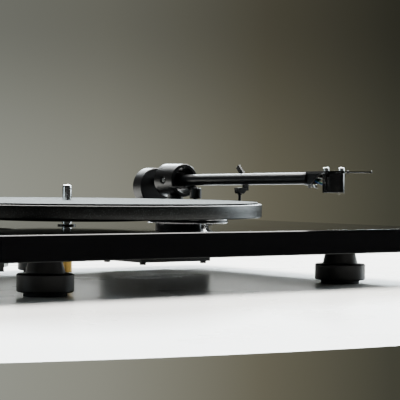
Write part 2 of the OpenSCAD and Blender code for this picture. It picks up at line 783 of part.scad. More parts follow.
module cartridge_body() {
    top = shell_bottom;
    bottom = top - cartridge_h;
    edge = 1.3;
    w = cartridge_w / 2;
    stylus_top = top - 6.4;
    color([0.05, 0.05, 0.055]) in_headshell() difference() {
        union() {
            translate([0, 0, bottom]) linear_extrude(cartridge_h) polygon([
                [-w, -body_back], [w, -body_back], [w, -body_front + edge], [w - edge, -body_front],
                [-w + edge, -body_front], [-w, -body_front + edge]]);
            translate([-ear_w / 2, -screw_s - ear_l / 2, top - ear_t]) cube([ear_w, ear_l, ear_t]);
        }
        cartridge_screw_places() cylinder(d = cartridge_screw_d + 0.1, h = 40, center = true);
        translate([-holder_w / 2 - 0.05, -body_front - 1, bottom - 1])
            cube([holder_w + 0.1, holder_l + 1.05, stylus_top - bottom + 1]);
        for (p = pin_places) translate([p[0], -body_back, p[1]]) tube_y(pin_out_d + 0.02, -2, 1);
    }
}

module cartridge_screws() {
    head_h = 2.8;
    head_d = 4.7;
    color([0.85, 0.85, 0.87]) in_headshell() cartridge_screw_places() translate([0, 0, shell_top]) {
        difference() {
            rotate_extrude() polygon([
                [0, 0], [head_d / 2, 0], [head_d / 2, head_h - 0.9], [head_d / 2 - 0.35, head_h - 0.3],
                [head_d / 2 - 0.9, head_h], [0, head_h]]);
            translate([0, 0, head_h - 1.4]) cylinder(d = 2.4, h = 3, $fn = 6);
        }
        translate([0, 0, -shell_t - ear_t + 0.2]) cylinder(d = cartridge_screw_d, h = shell_t + ear_t - 0.2);
    }
}

pin_out_d = 0.8;
pin_top = shell_bottom - 4.2;
pin_low = shell_bottom - 8.8;
pin_half = 2.4;
pin_places = [[-pin_half, pin_top], [pin_half, pin_top], [-pin_half, pin_low], [pin_half, pin_low]];
sleeve_tag_l = 4;

module cartridge_pins() {
    color([0.85, 0.7, 0.35]) in_headshell() for (p = pin_places) translate([p[0], -body_back, p[1]]) {
        tube_y(pin_out_d, -2, 0.5);
        tube_y(1.5, 0.5, sleeve_tag_l);
    }
}

holder_w = 9.4;
holder_l = 12;

module stylus_holder() {
    top = shell_bottom - 6.4;
    bottom = shell_bottom - cartridge_h;
    dot_d = 3.4;
    color([0.05, 0.05, 0.055]) in_headshell() difference() {
        union() {
            translate([-holder_w / 2, -body_front, bottom]) cube([holder_w, holder_l, top - bottom - 0.05]);
            translate([0, -body_front, (top + bottom) / 2 + 1]) tube_y(dot_d, -0.4, 0);
        }
        translate([0, -stylus_s + 3, bottom]) {
            cylinder(d = 3, h = 4, center = true);
            translate([-0.6, -4, -1]) cube([1.2, 4, 2.7]);
        }
    }
}

module cantilever() {
    bottom = shell_bottom - cartridge_h;
    reach = 6;
    slope = 22;
    color([0.8, 0.8, 0.82]) in_headshell() translate([0, -stylus_s + 3, bottom + 1.2]) {
        translate([0, 0, -1]) cylinder(d = 2.4, h = 1.75);
        rotate([slope, 0, 0]) tube_y(0.6, -reach, 0);
        translate([0, -reach * cos(slope) + 0.3, -reach * sin(slope) - 0.55])
            cylinder(d1 = 0.1, d2 = 0.4, h = 0.7);
    }
}

// Leads from the tube's end to the pins, each on a smooth curve; coordinates in the arm's frame
lead_d = 1;
lead_rings = 12;
lead_sides = 8;
tube_mouth = [0, -collar_front - channel_start - 0.5, 0];

function curve(a, b, c, d, t) =
    a * pow(1 - t, 3) + b * 3 * t * pow(1 - t, 2) + c * 3 * t * t * (1 - t) + d * pow(t, 3);
function unit(v) = v / norm(v);
function shell_point(p) = [
    p[0] * cos(offset_angle) + p[1] * sin(offset_angle),
    -turn_y - p[0] * sin(offset_angle) + p[1] * cos(offset_angle), p[2]];
function ring_at(p, dir) =
    let (side = unit(cross(dir, [0, 0, 1])), up = cross(side, dir), step = 360 / lead_sides)
    [for (k = [0 : lead_sides - 1]) p + lead_d / 2 * (side * cos(step * k) + up * sin(step * k))];

module lead(start, pin, sag) {
    end = shell_point([pin[0], -body_back + sleeve_tag_l, pin[1]]);
    pull = shell_point([pin[0], -body_back + sleeve_tag_l + 5, pin[1]]);
    mid = start + [0, -5, sag];
    path = [for (i = [0 : lead_rings]) curve(start, mid, pull, end, i / lead_rings)];
    dirs = [for (i = [0 : lead_rings])
        unit(path[min(i + 1, lead_rings)] - path[max(i - 1, 0)])];
    points = [for (i = [0 : lead_rings]) each ring_at(path[i], dirs[i])];
    last = lead_rings * lead_sides;
    in_arm() polyhedron(points, concat(
        [[for (k = [0 : lead_sides - 1]) k]],
        [for (i = [0 : lead_rings - 1], k = [0 : lead_sides - 1])
            [i * lead_sides + k, (i + 1) * lead_sides + k,
             (i + 1) * lead_sides + (k + 1) % lead_sides, i * lead_sides + (k + 1) % lead_sides]],
        [[for (k = [lead_sides - 1 : -1 : 0]) last + k]]));
}

module lead_red() color([0.75, 0.1, 0.08]) lead(tube_mouth + [1.1, 0, 1.1], pin_places[1], -1);
module lead_blue() color([0.1, 0.3, 0.65]) lead(tube_mouth + [-1.1, 0, -1.1], pin_places[2], -3.5);
module lead_green() color([0.1, 0.5, 0.25]) lead(tube_mouth + [1.1, 0, -1.1], pin_places[3], -3.5);
module lead_white() color([0.9, 0.9, 0.88]) lead(tube_mouth + [-1.1, 0, 1.1], pin_places[0], -1);

// ---------------------------------------------------------------- cueing
tower_x = 3;
tower_y = -sqrt(pow(lift_r, 2) - pow(tower_x, 2));
tower_d = 10.4;
tower_h = 12;
piston_d = 4;
bar_t = 1.2;
bar_w = 3;
bar_sweep = 52;
bar_lead = 12;
under_gap = 0.8;            // lift bar below the lowered tube
tube_drop = 1.3;            // lowest arm tilt below its parked slope, in degrees
bar_top = arm_z - tube_d / 2 + lift_r * sin(arm_rise - tube_drop) - under_gap;
head_h = 10;
lever_hub_x0 = tower_x + tower_d / 2 + 2.4;
lever_hub_x1 = lever_hub_x0 + 5;
lever_hub_d = 6.4;
lever_z = slab_top + 6.4;
axle_d = 2.4;
lever_d = 2.6;

module at_tower() translate([tower_x, tower_y, 0]) children();

module lift_tower() {
    color([0.07, 0.07, 0.075]) at_pivot() at_tower() {
        difference() {
            translate([0, 0, slab_top + base_t]) cylinder(d = tower_d, h = tower_h - base_t);
            translate([0, 0, slab_top]) cylinder(d = piston_d + 2 * run_gap, h = tower_h + 1);
        }
        translate([0, 0, lever_z]) difference() {
            rod_x(6.4, tower_d / 2 - 1, lever_hub_x0 - tower_x - 0.3);
            translate([0, 0, -lever_z]) cylinder(d = tower_d - 1.6, h = 2 * lever_z);
        }
        translate([0, 0, lever_z]) rod_x(axle_d, tower_d / 2 + 1, lever_hub_x1 - tower_x - 0.6);
    }
}

module lift_bar() {
    color([0.6, 0.6, 0.62]) at_pivot() {
        translate([0, 0, bar_top - bar_t]) rotate([0, 0, 270 - bar_sweep])
            rotate_extrude(angle = bar_sweep + bar_lead)
                translate([lift_r - bar_w / 2, 0]) square([bar_w, bar_t]);
        at_tower() {
            translate([0, 0, bar_top - head_h]) cylinder(d = tower_d, h = head_h - bar_t + eps);
            translate([0, 0, slab_top + base_t + 0.3 + lift_travel])
                cylinder(d = piston_d, h = bar_top - head_h - slab_top - base_t - 0.3 - lift_travel + 1);
        }
    }
}

module cue_lever() {
    color([0.8, 0.8, 0.82]) at_pivot() translate([0, tower_y, lever_z]) {
        difference() {
            rod_x(lever_hub_d, lever_hub_x0, lever_hub_x1);
            rod_x(axle_d + 2 * run_gap, lever_hub_x0 - 1, lever_hub_x1 - 0.5);
        }
        rotate([-lever_slope, 0, 0]) translate([(lever_hub_x0 + lever_hub_x1) / 2, 0, 0]) {
            tube_y(lever_d, -lever_l, -lever_hub_d / 2 + 0.4);
            translate([0, -lever_l, 0]) sphere(d = lever_d);
        }
    }
}

// ---------------------------------------------------------------- armrest
rest_axis_z = arm_z + rest_front * sin(arm_rise);
tube_low = arm_z + rest_front * sin(arm_rise - tube_drop) - tube_d / 2;
cup_top = tube_low - 0.35;
cup_h = 4.8;
cup_l = 6;
side_gap = 0.5;
upright_x = tube_d / 2 + side_gap;
upright_t = 2;
clip_z = rest_axis_z - 2.5;
clip_pin_d = 2;
clip_t = 2;
clip_w = 4.2;
clip_l = 18.6;
clip_lean = 44;

module armrest_cradle() {
    color([0.06, 0.06, 0.065]) at_pivot() translate([0, -rest_front, 0]) {
        translate([0, cup_l / 2, 0]) rotate([90, 0, 0]) linear_extrude(cup_l) polygon([
            [-2.4, cup_top - cup_h], [2.4, cup_top - cup_h], [upright_x - 0.1, cup_top - cup_h + 2.6],
            [upright_x - 0.1, cup_top], [-3.6, cup_top], [-3.2, cup_top - cup_h + 1.4]]);
        translate([0, 0, cup_top - cup_h - 1]) cylinder(d = 3.6, h = 1);
        translate([0, 0, arm_beam_z + 1.2]) cylinder(d = post_d, h = cup_top - cup_h - arm_beam_z - 2.2);
    }
}

module clip_upright() {
    bottom = cup_top - cup_h + 2.6;
    color([0.06, 0.06, 0.065]) at_pivot() translate([0, -rest_front, 0]) {
        translate([upright_x, -cup_l / 2, bottom]) cube([upright_t, cup_l, clip_z - bottom]);
        translate([0, 0, clip_z]) rod_x(cup_l, upright_x, upright_x + upright_t);
        translate([upright_x + upright_t, 0, clip_z]) {
            rod_x(clip_pin_d, -0.5, clip_t + 0.6);
            rod_x(clip_pin_d + 1.4, clip_t + 0.4, clip_t + 1);
        }
    }
}

module arm_clip() {
    color([0.06, 0.06, 0.065]) at_pivot()
        translate([upright_x + upright_t + 0.15, -rest_front, clip_z]) rotate([-clip_lean, 0, 0])
            difference() {
                union() {
                    rod_x(clip_w + 1, 0, clip_t);
                    translate([0, -clip_w / 2, 0]) cube([clip_t, clip_w, clip_l]);
                }
                rod_x(clip_pin_d + 2 * run_gap, -1, clip_t + 1);
            }
}

// ---------------------------------------------------------------- connection box
box_front_y = pivot_y - 30;
box_wall = 2;
box_screw_d = 3;
box_boss = 7;
board_t = 1.6;
socket_z = slab_bottom - box_h / 2;
phono_x = [-20, -6];
ground_x = 7;
inlet_x = 19;
inlet_d = 5.5;

module at_box() translate([spindle_x + pivot_x - 21, box_front_y + box_d / 2, 0]) children();
module at_box_back() at_box() translate([0, box_d / 2, socket_z]) children();
module box_screw_places() for (sx = [-1, 1], sy = [-1, 1])
    translate([sx * (box_w / 2 - box_boss / 2 - 1), sy * (box_d / 2 - box_boss / 2 - 1), 0]) children();

module box_back_hole(x, d) at_box_back() translate([x, 0, 0]) tube_y(d + 2 * seat_gap, -box_wall - 1, 1);

module connection_box() {
    color([0.07, 0.07, 0.07]) difference() {
        at_box() translate([-box_w / 2, -box_d / 2, slab_bottom - box_h]) cube([box_w, box_d, box_h]);
        at_box() difference() {
            translate([-box_w / 2 + box_wall, -box_d / 2 + box_wall, slab_bottom - box_h + box_wall])
                cube([box_w - 2 * box_wall, box_d - 2 * box_wall, box_h]);
            box_screw_places() translate([0, 0, slab_bottom - box_h]) cylinder(d = box_boss, h = box_h);
        }
        at_box() box_screw_places() translate([0, 0, slab_bottom - box_h - 1])
            cylinder(d = box_screw_d + 0.3, h = box_h + 2);
        for (x = phono_x) box_back_hole(x, phono_seat_d);
        box_back_hole(ground_x, ground_d);
        box_back_hole(inlet_x, inlet_seat_d);
    }
}

module box_screws() {
    color([0.7, 0.7, 0.7]) at_box() box_screw_places() translate([0, 0, slab_bottom - box_h])
        pan_screw(box_screw_d, box_h + screw_bite, 5.6, 2);
}

phono_seat_d = 9;
phono_flange_d = 12;
phono_flange_t = 1.2;
ground_d = 4;
inlet_seat_d = 8;
inlet_flange = 11;
board_front = 34;

module socket_board() {
    board_w = box_w - 2 * box_boss - 6;
    color([0.1, 0.35, 0.2]) at_box_back() translate([-board_w / 2, -board_front, box_h / 2 - 3 - board_t])
        cube([board_w, board_front - 12, board_t]);
}

// A phono socket: flange on the box, barrel outside, body inside
module phono_socket(insert) {
    color([0.8, 0.75, 0.6]) difference() {
        union() {
            tube_y(phono_seat_d, -box_wall - 6, 0);
            tube_y(phono_flange_d, 0, phono_flange_t);
            tube_y(phono_d, phono_flange_t, phono_flange_t + phono_l);
        }
        tube_y(6.4, phono_flange_t + 1, phono_flange_t + phono_l + 1);
    }
    color(insert) difference() {
        tube_y(6.4, phono_flange_t + 1, phono_flange_t + phono_l - 0.6);
        tube_y(3.3, phono_flange_t + 2, phono_flange_t + phono_l + 1);
    }
}

module phono_socket_red() at_box_back() translate([phono_x[1], 0, 0]) phono_socket([0.7, 0.1, 0.1]);
module phono_socket_white() at_box_back() translate([phono_x[0], 0, 0]) phono_socket([0.9, 0.9, 0.9]);

module ground_post() {
    color([0.8, 0.8, 0.82]) at_box_back() translate([ground_x, 0, 0]) {
        tube_y(ground_d, -box_wall - 3, 8);
        tube_y(8, 2.5, 7);
        tube_y(9, 0, 1);
    }
}

module power_inlet() {
    color([0.08, 0.08, 0.08]) at_box_back() translate([inlet_x, 0, 0]) difference() {
        union() {
            tube_y(inlet_seat_d, -box_wall - 8, 0);
            translate([-inlet_flange / 2, 0, -inlet_flange / 2]) cube([inlet_flange, 1.2, inlet_flange]);
        }
        difference() {
            tube_y(inlet_d, -8, 2);
            tube_y(2, -9, 0.5);
        }
    }
}

plinth();
foot_front_left();
foot_front_right();
foot_rear();
foot_pads();
foot_screws();
bearing_housing();
bearing_bushes();
bearing_nut();
spindle_shaft();
thrust_ball();
sub_platter();
platter();
platter_rim();
mat();
motor_body();
motor_bracket();
motor_grommet();
motor_screws();
motor_shaft();
pulley();
drive_belt();
switch_housing();
power_rocker();
arm_base();
arm_base_screws();
arm_bearings();
swing_shaft();
gimbal_ring();
pivot_screws();
pivot_sleeve();
arm_tube();
rear_stub();
counterweight();
counterweight_screw();
headshell();
finger_lift();
clamp_screw();
cartridge_body();
cartridge_screws();
cartridge_pins();
stylus_holder();
cantilever();
lead_red();
lead_blue();
lead_green();
lead_white();
lift_tower();
lift_bar();
cue_lever();
armrest_cradle();
clip_upright();
arm_clip();
connection_box();
socket_board();
phono_socket_red();
phono_socket_white();
ground_post();
power_inlet();
box_screws();
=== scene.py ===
# Slim belt-drive record player with its arm parked on the rest.
import math

import bmesh
import bpy
from mathutils import Matrix, Vector


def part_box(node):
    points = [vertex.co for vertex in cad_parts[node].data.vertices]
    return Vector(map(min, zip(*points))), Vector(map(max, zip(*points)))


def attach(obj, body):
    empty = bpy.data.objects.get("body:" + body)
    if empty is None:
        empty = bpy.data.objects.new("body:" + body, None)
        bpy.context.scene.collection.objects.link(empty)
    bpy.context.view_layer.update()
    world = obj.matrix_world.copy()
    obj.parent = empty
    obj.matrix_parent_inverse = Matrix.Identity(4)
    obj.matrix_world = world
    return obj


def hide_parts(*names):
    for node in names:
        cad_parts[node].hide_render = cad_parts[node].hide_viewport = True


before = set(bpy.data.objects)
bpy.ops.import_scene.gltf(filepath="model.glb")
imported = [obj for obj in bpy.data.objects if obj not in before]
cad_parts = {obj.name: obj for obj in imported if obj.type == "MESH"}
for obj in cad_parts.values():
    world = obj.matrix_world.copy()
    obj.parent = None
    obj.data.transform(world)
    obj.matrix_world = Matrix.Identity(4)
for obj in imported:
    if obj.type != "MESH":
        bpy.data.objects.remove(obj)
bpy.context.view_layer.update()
mm = 0.001

# ---------------------------------------------------------------- camera, floor and light
# A long lens low beside the front left corner looks across the deck to the arm. The floor is
# plain and pale with a soft polish. Two large panels, overhead and behind, and a window on each side
# give soft light; the room is a warm grey beyond the object and dim on the camera's side.
camera_place = Vector((-742.3, -1053.9, 83.0)) * mm
camera_yaw, camera_pitch, camera_roll = 0.6641, 0.0146, 0.0108
camera_lens = 147.2
sensor_width = 36
floor_radius = 0.85
floor_middle = Vector((-0.10, 0.37, 0))
floor_colour = "#f3f2ee"
floor_cloud = mm / 0.009         # 111 mm, the size of its polished patches

heading = Vector((
    math.sin(camera_yaw) * math.cos(camera_pitch),
    math.cos(camera_yaw) * math.cos(camera_pitch), -math.sin(camera_pitch)))
level_right = Vector((math.cos(camera_yaw), -math.sin(camera_yaw), 0))
level_up = level_right.cross(heading)
right = level_right * math.cos(camera_roll) + level_up * math.sin(camera_roll)
up = level_up * math.cos(camera_roll) - level_right * math.sin(camera_roll)
lens = bpy.data.cameras.new("camera")
lens.lens = camera_lens
lens.sensor_width = sensor_width
lens.clip_start = 0.05
camera = bpy.data.objects.new("camera", lens)
turned = Matrix((right, up, -heading)).transposed().to_4x4()
camera.matrix_world = Matrix.Translation(camera_place) @ turned
bpy.context.scene.collection.objects.link(camera)
bpy.context.scene.camera = camera


def linear(code):
    """An sRGB hex colour as linear RGBA."""
    parts = [int(code[i:i + 2], 16) / 255 for i in (1, 3, 5)]
    return tuple(c / 12.92 if c <= 0.04045 else ((c + 0.055) / 1.055) ** 2.4 for c in parts) + (1.0,)


def add(tree, kind, inputs=(), **settings):
    """Adds a node; an input is a value, or the output that feeds it."""
    made = tree.nodes.new(kind)
    for name, value in settings.items():
        setattr(made, name, value)
    for socket, value in dict(inputs).items():
        if isinstance(value, bpy.types.NodeSocket):
            tree.links.new(value, made.inputs[socket])
        else:
            made.inputs[socket].default_value = value
    return made


def new_finish(name, **sockets):
    """A material with its Principled shader, whose plain sockets are given by name."""
    made = bpy.data.materials.new(name)
    made.use_nodes = True
    tree = made.node_tree
    tree.nodes.clear()
    plain = {socket.replace("_", " "): value for socket, value in sockets.items()}
    shader = add(tree, "ShaderNodeBsdfPrincipled", plain)
    add(tree, "ShaderNodeOutputMaterial", {"Surface": shader.outputs["BSDF"]})
    return made, tree, shader


def piece_from(bm, name, finish, smooth_angle=35):
    """Turns a finished bmesh into an object at the origin."""
    mesh = bpy.data.meshes.new(name)
    bm.to_mesh(mesh)
    bm.free()
    mesh.materials.append(finish)
    mesh.shade_smooth()
    mesh.set_sharp_from_angle(angle=math.radians(smooth_angle))
    made = bpy.data.objects.new(name, mesh)
    bpy.context.scene.collection.objects.link(made)
    return made


# Satin melamine board: pale, with a faint soft reflection of what stands on it
floor_finish, tree, shader = new_finish(
    "satin_melamine_floor", Base_Color=linear(floor_colour), Specular_IOR_Level=0.3)
place = add(tree, "ShaderNodeTexCoord")
cloud = add(tree, "ShaderNodeTexNoise", {
    "Vector": place.outputs["Object"], "Scale": 1 / floor_cloud, "Detail": 4.0})
polish = add(tree, "ShaderNodeMapRange", {"Value": cloud.outputs["Fac"], "To Min": 0.24, "To Max": 0.32})
tree.links.new(polish.outputs["Result"], shader.inputs["Roughness"])
bm = bmesh.new()
bmesh.ops.create_circle(bm, cap_ends=True, radius=floor_radius, segments=128)
bmesh.ops.translate(bm, verts=bm.verts, vec=floor_middle)
floor = piece_from(bm, "floor", floor_finish)

# The room: a painted wall beyond the object that runs from pale on the left to dark on the right,
# dimmer toward the ceiling, and an even grey everywhere else
world = bpy.data.worlds.new("surround")
bpy.context.scene.world = world
world.use_nodes = True
tree = world.node_tree
tree.nodes.clear()
place = add(tree, "ShaderNodeTexCoord")
across = add(tree, "ShaderNodeVectorMath",
             {0: place.outputs["Generated"], 1: level_right}, operation="DOT_PRODUCT")
across = add(tree, "ShaderNodeMapRange", {
    "Value": across.outputs["Value"], "From Min": -1.0, "From Max": 1.0})
band = add(tree, "ShaderNodeValToRGB", {"Fac": across.outputs["Result"]})
band.color_ramp.elements[0].position = 0.0
band.color_ramp.elements[0].color = linear("#8f9087")
band.color_ramp.elements[1].position = 1.0
band.color_ramp.elements[1].color = linear("#77766c")
for spot, colour in (
        (0.43, "#9b9d92"), (0.47, "#8f8f82"), (0.52, "#686555"), (0.56, "#45453a"), (0.66, "#4d4c43")):
    band.color_ramp.elements.new(spot).color = linear(colour)
height = add(tree, "ShaderNodeSeparateXYZ", {"Vector": place.outputs["Generated"]})
fade = add(tree, "ShaderNodeMapRange",
           {"Value": height.outputs["Z"], "From Min": -0.02, "From Max": 0.10, "To Min": 1.0, "To Max": 0.5},
           interpolation_type="SMOOTHSTEP")
ahead = add(tree, "ShaderNodeVectorMath",
            {0: place.outputs["Generated"], 1: heading}, operation="DOT_PRODUCT")
ahead = add(tree, "ShaderNodeMapRange",
            {"Value": ahead.outputs["Value"], "From Min": 0.55, "From Max": 0.93},
            interpolation_type="SMOOTHSTEP")
room = add(tree, "ShaderNodeMix", {
    "Factor": ahead.outputs["Result"], "A": linear("#4d4d4a"), "B": band.outputs["Color"]}, data_type="RGBA")
glow = add(tree, "ShaderNodeBackground", {
    "Color": room.outputs["Result"], "Strength": fade.outputs["Result"]})
add(tree, "ShaderNodeOutputWorld", {"Surface": glow.outputs["Background"]})

# Each lamp: its name, where it stands, what it faces, its sides in metres, its watts and its tint
for name, stand, aim, size, power, tone in (
        ("panel_overhead", (0.50, 0.40, 1.40), (0.3, 0.1, 0.0), (2.0, 1.3), 190, "#fffefa"),
        ("panel_behind", (1.15, 1.50, 0.76), (0.0, 0.0, 0.08), (1.9, 0.48), 90, "#f0fbff"),
        ("window_right", (1.7, -0.15, 0.62), (0.0, 0.0, 0.05), (1.1, 1.1), 34, "#eefaff"),
        ("window_left", (-1.5, 0.5, 0.35), (0.0, 0.0, 0.07), (0.6, 0.6), 2.6, "#e4f8ff")):
    lamp = bpy.data.lights.new(name, "AREA")
    lamp.shape = "RECTANGLE"
    lamp.size, lamp.size_y = size
    lamp.energy = power
    lamp.color = linear(tone)[:3]
    lamp_object = bpy.data.objects.new(name, lamp)
    facing = (Vector(aim) - Vector(stand)).to_track_quat("-Z", "Y").to_matrix().to_4x4()
    lamp_object.matrix_world = Matrix.Translation(stand) @ facing
    bpy.context.scene.collection.objects.link(lamp_object)

# ---------------------------------------------------------------- plinth
# A slab of 18 mm fibreboard, sprayed with black polyester lacquer and polished until it mirrors.
# Its edges are sanded to a narrow rounding that catches the light, and the holes for the bearing,
# the motor and the arm's leads are drilled through it.
lacquer_colour = "#050506"
lacquer_wave = 9.0 * mm          # the slow waves of a buffed surface
dust_pitch = 2.2 * mm
slab_edge = 0.9 * mm
weld_gap = 0.0008 * mm           # corners nearer than this are one corner
flat_angle = math.radians(0.4)   # faces that meet flatter than this are one face


def welded(node, body, name, finish, bevel=0.15 * mm, segments=2, sharp=30):
    """A copy of a CAD node, as one smooth piece that stands for the node.

    Edges sharper than the angle sharp are rounded by bevel, in so many segments."""
    bm = bmesh.new()
    bm.from_mesh(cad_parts[node].data)
    bmesh.ops.remove_doubles(bm, verts=bm.verts, dist=weld_gap)
    bmesh.ops.dissolve_limit(
        bm, angle_limit=flat_angle, verts=bm.verts, edges=bm.edges, delimit={"NORMAL"})
    made = piece_from(bm, name, finish, sharp)
    if bevel:
        rounding = made.modifiers.new("edge", "BEVEL")
        rounding.width = bevel
        rounding.segments = segments
        rounding.profile = 0.5
        rounding.limit_method = "ANGLE"
        rounding.angle_limit = math.radians(sharp)
        rounding.harden_normals = True
        rounding.use_clamp_overlap = True
    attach(made, body)
    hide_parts(node)
    return made


# Polyester lacquer, polished: near-black and mirror-like, with slow waves and a little dust
lacquer, tree, shader = new_finish("polished_polyester_lacquer", IOR=1.32)
place = add(tree, "ShaderNodeTexCoord")
waves = add(tree, "ShaderNodeTexNoise",
            {"Vector": place.outputs["Object"], "Scale": 1 / lacquer_wave, "Detail": 1.5})
dust = add(tree, "ShaderNodeTexVoronoi", {"Vector": place.outputs["Object"], "Scale": 1 / dust_pitch})
speck = add(tree, "ShaderNodeMapRange", {
    "Value": dust.outputs["Distance"], "From Min": 0.03, "From Max": 0.055, "To Min": 1.0, "To Max": 0.0})
sparse = add(tree, "ShaderNodeSeparateColor", {"Color": dust.outputs["Color"]})
rare = add(tree, "ShaderNodeMath", {0: sparse.outputs["Red"], 1: 0.8}, operation="GREATER_THAN")
speck = add(tree, "ShaderNodeMath", {
    0: speck.outputs["Result"], 1: rare.outputs["Value"]}, operation="MULTIPLY")
tint = add(tree, "ShaderNodeMix", {
    "Factor": speck.outputs["Value"], "A": linear(lacquer_colour), "B": linear("#4c4b48")}, data_type="RGBA")
tree.links.new(tint.outputs["Result"], shader.inputs["Base Color"])
haze = add(tree, "ShaderNodeMapRange", {"Value": waves.outputs["Fac"], "To Min": 0.03, "To Max": 0.06})
tree.links.new(haze.outputs["Result"], shader.inputs["Roughness"])
relief = add(tree, "ShaderNodeBump", {
    "Height": waves.outputs["Fac"], "Strength": 0.06, "Distance": 0.05 * mm})
tree.links.new(relief.outputs["Normal"], shader.inputs["Normal"])
welded("plinth", "base", "plinth_slab", lacquer, slab_edge, 4)

# ---------------------------------------------------------------- feet
# Three feet turned from black ABS bar: a disc with a cone that narrows to the slab, each held by
# one screw up through its middle, and standing on a rubber pad glued under the disc.
abs_grain = 0.35 * mm
abs_flow = mm / 0.06             # 17 mm, where the melt ran a little darker or lighter
rubber_grain = 0.5 * mm
plating_cloud = mm / 0.9         # 1.1 mm

# ABS, moulded with a fine spark-eroded grain: dull black with a soft broad highlight
moulded_abs, tree, shader = new_finish("spark_textured_abs", IOR=1.3)
place = add(tree, "ShaderNodeTexCoord")
grain = add(tree, "ShaderNodeTexNoise", {
    "Vector": place.outputs["Object"], "Scale": 1 / abs_grain, "Detail": 3.0})
flow = add(tree, "ShaderNodeTexNoise", {
    "Vector": place.outputs["Object"], "Scale": 1 / abs_flow, "Detail": 2.0})
tint = add(tree, "ShaderNodeMix", {
    "Factor": flow.outputs["Fac"], "A": linear("#050505"), "B": linear("#0b0b0b")}, data_type="RGBA")
tree.links.new(tint.outputs["Result"], shader.inputs["Base Color"])
worn = add(tree, "ShaderNodeMapRange", {"Value": grain.outputs["Fac"], "To Min": 0.36, "To Max": 0.58})
tree.links.new(worn.outputs["Result"], shader.inputs["Roughness"])
relief = add(tree, "ShaderNodeBump", {
    "Height": grain.outputs["Fac"], "Strength": 0.35, "Distance": 0.04 * mm})
tree.links.new(relief.outputs["Normal"], shader.inputs["Normal"])

# Nitrile rubber: matt, slightly greyer than the plastic, with talc caught in its pores
nitrile, tree, shader = new_finish("moulded_nitrile_rubber", Roughness=0.85, IOR=1.52)
place = add(tree, "ShaderNodeTexCoord")
pores = add(tree, "ShaderNodeTexNoise", {
    "Vector": place.outputs["Object"], "Scale": 1 / rubber_grain, "Detail": 4.0})
tint = add(tree, "ShaderNodeMix", {
    "Factor": pores.outputs["Fac"], "A": linear("#080808"), "B": linear("#131212")}, data_type="RGBA")
tree.links.new(tint.outputs["Result"], shader.inputs["Base Color"])
relief = add(tree, "ShaderNodeBump", {"Height": pores.outputs["Fac"], "Strength": 0.4, "Distance": 0.05 * mm})
tree.links.new(relief.outputs["Normal"], shader.inputs["Normal"])

# Zinc-plated steel: cool grey metal, clouded by the passivation
zinc, tree, shader = new_finish("zinc_plated_steel", Metallic=1.0)
place = add(tree, "ShaderNodeTexCoord")
cloud = add(tree, "ShaderNodeTexNoise", {
    "Vector": place.outputs["Object"], "Scale": 1 / plating_cloud, "Detail": 3.0})
tint = add(tree, "ShaderNodeMix", {
    "Factor": cloud.outputs["Fac"], "A": linear("#a4a7ab"), "B": linear("#c9c8c2")}, data_type="RGBA")
tree.links.new(tint.outputs["Result"], shader.inputs["Base Color"])
worn = add(tree, "ShaderNodeMapRange", {"Value": cloud.outputs["Fac"], "To Min": 0.2, "To Max": 0.42})
tree.links.new(worn.outputs["Result"], shader.inputs["Roughness"])

for foot in ("foot_front_left", "foot_front_right", "foot_rear"):
    welded(foot, "base", foot + "_turned", moulded_abs, 0.3 * mm, 3)
welded("foot_pads", "base", "foot_pads_moulded", nitrile, 0.4 * mm, 3)
welded("foot_screws", "base", "foot_screws_plated", zinc, 0.12 * mm)

# ---------------------------------------------------------------- main bearing
# The bearing is a brass tube, held in the slab by a nut below; the part of it above the slab is given the
# black lacquer.
# Two sintered bronze bushes sit in it, and the ground steel spindle turns in them on one ball.
turning_pitch = 0.25 * mm
wave_repeat = 0.31               # a wave texture of scale 1 repeats about this far apart
brass_stain = mm / 0.3           # 3.3 mm
bronze_pore = mm / 3.5           # 0.29 mm
grinding_mark = mm / 2.6         # 0.38 mm

# Free-cutting brass, turned: warm yellow metal with fine rings from the tool
brass, tree, shader = new_finish("turned_brass", Metallic=1.0, Roughness=0.28)
place = add(tree, "ShaderNodeTexCoord")
lines = add(tree, "ShaderNodeTexWave",
            {"Vector": place.outputs["Object"], "Scale": wave_repeat / turning_pitch,
             "Distortion": 0.6, "Detail": 1.0},
            wave_type="BANDS", bands_direction="Z")
stain = add(tree, "ShaderNodeTexNoise", {
    "Vector": place.outputs["Object"], "Scale": 1 / brass_stain, "Detail": 3.0})
tint = add(tree, "ShaderNodeMix", {
    "Factor": stain.outputs["Fac"], "A": linear("#b48b45"), "B": linear("#d9b569")}, data_type="RGBA")
tree.links.new(tint.outputs["Result"], shader.inputs["Base Color"])
relief = add(tree, "ShaderNodeBump", {
    "Height": lines.outputs["Fac"], "Strength": 0.25, "Distance": 0.02 * mm})
tree.links.new(relief.outputs["Normal"], shader.inputs["Normal"])

# Sintered bronze: duller and browner than the brass, with oil in its pores
bronze, tree, shader = new_finish("oiled_sintered_bronze", Metallic=1.0, Roughness=0.45)
place = add(tree, "ShaderNodeTexCoord")
pores = add(tree, "ShaderNodeTexNoise", {
    "Vector": place.outputs["Object"], "Scale": 1 / bronze_pore, "Detail": 2.0})
tint = add(tree, "ShaderNodeMix", {
    "Factor": pores.outputs["Fac"], "A": linear("#6d4a2a"), "B": linear("#a5754a")}, data_type="RGBA")
tree.links.new(tint.outputs["Result"], shader.inputs["Base Color"])

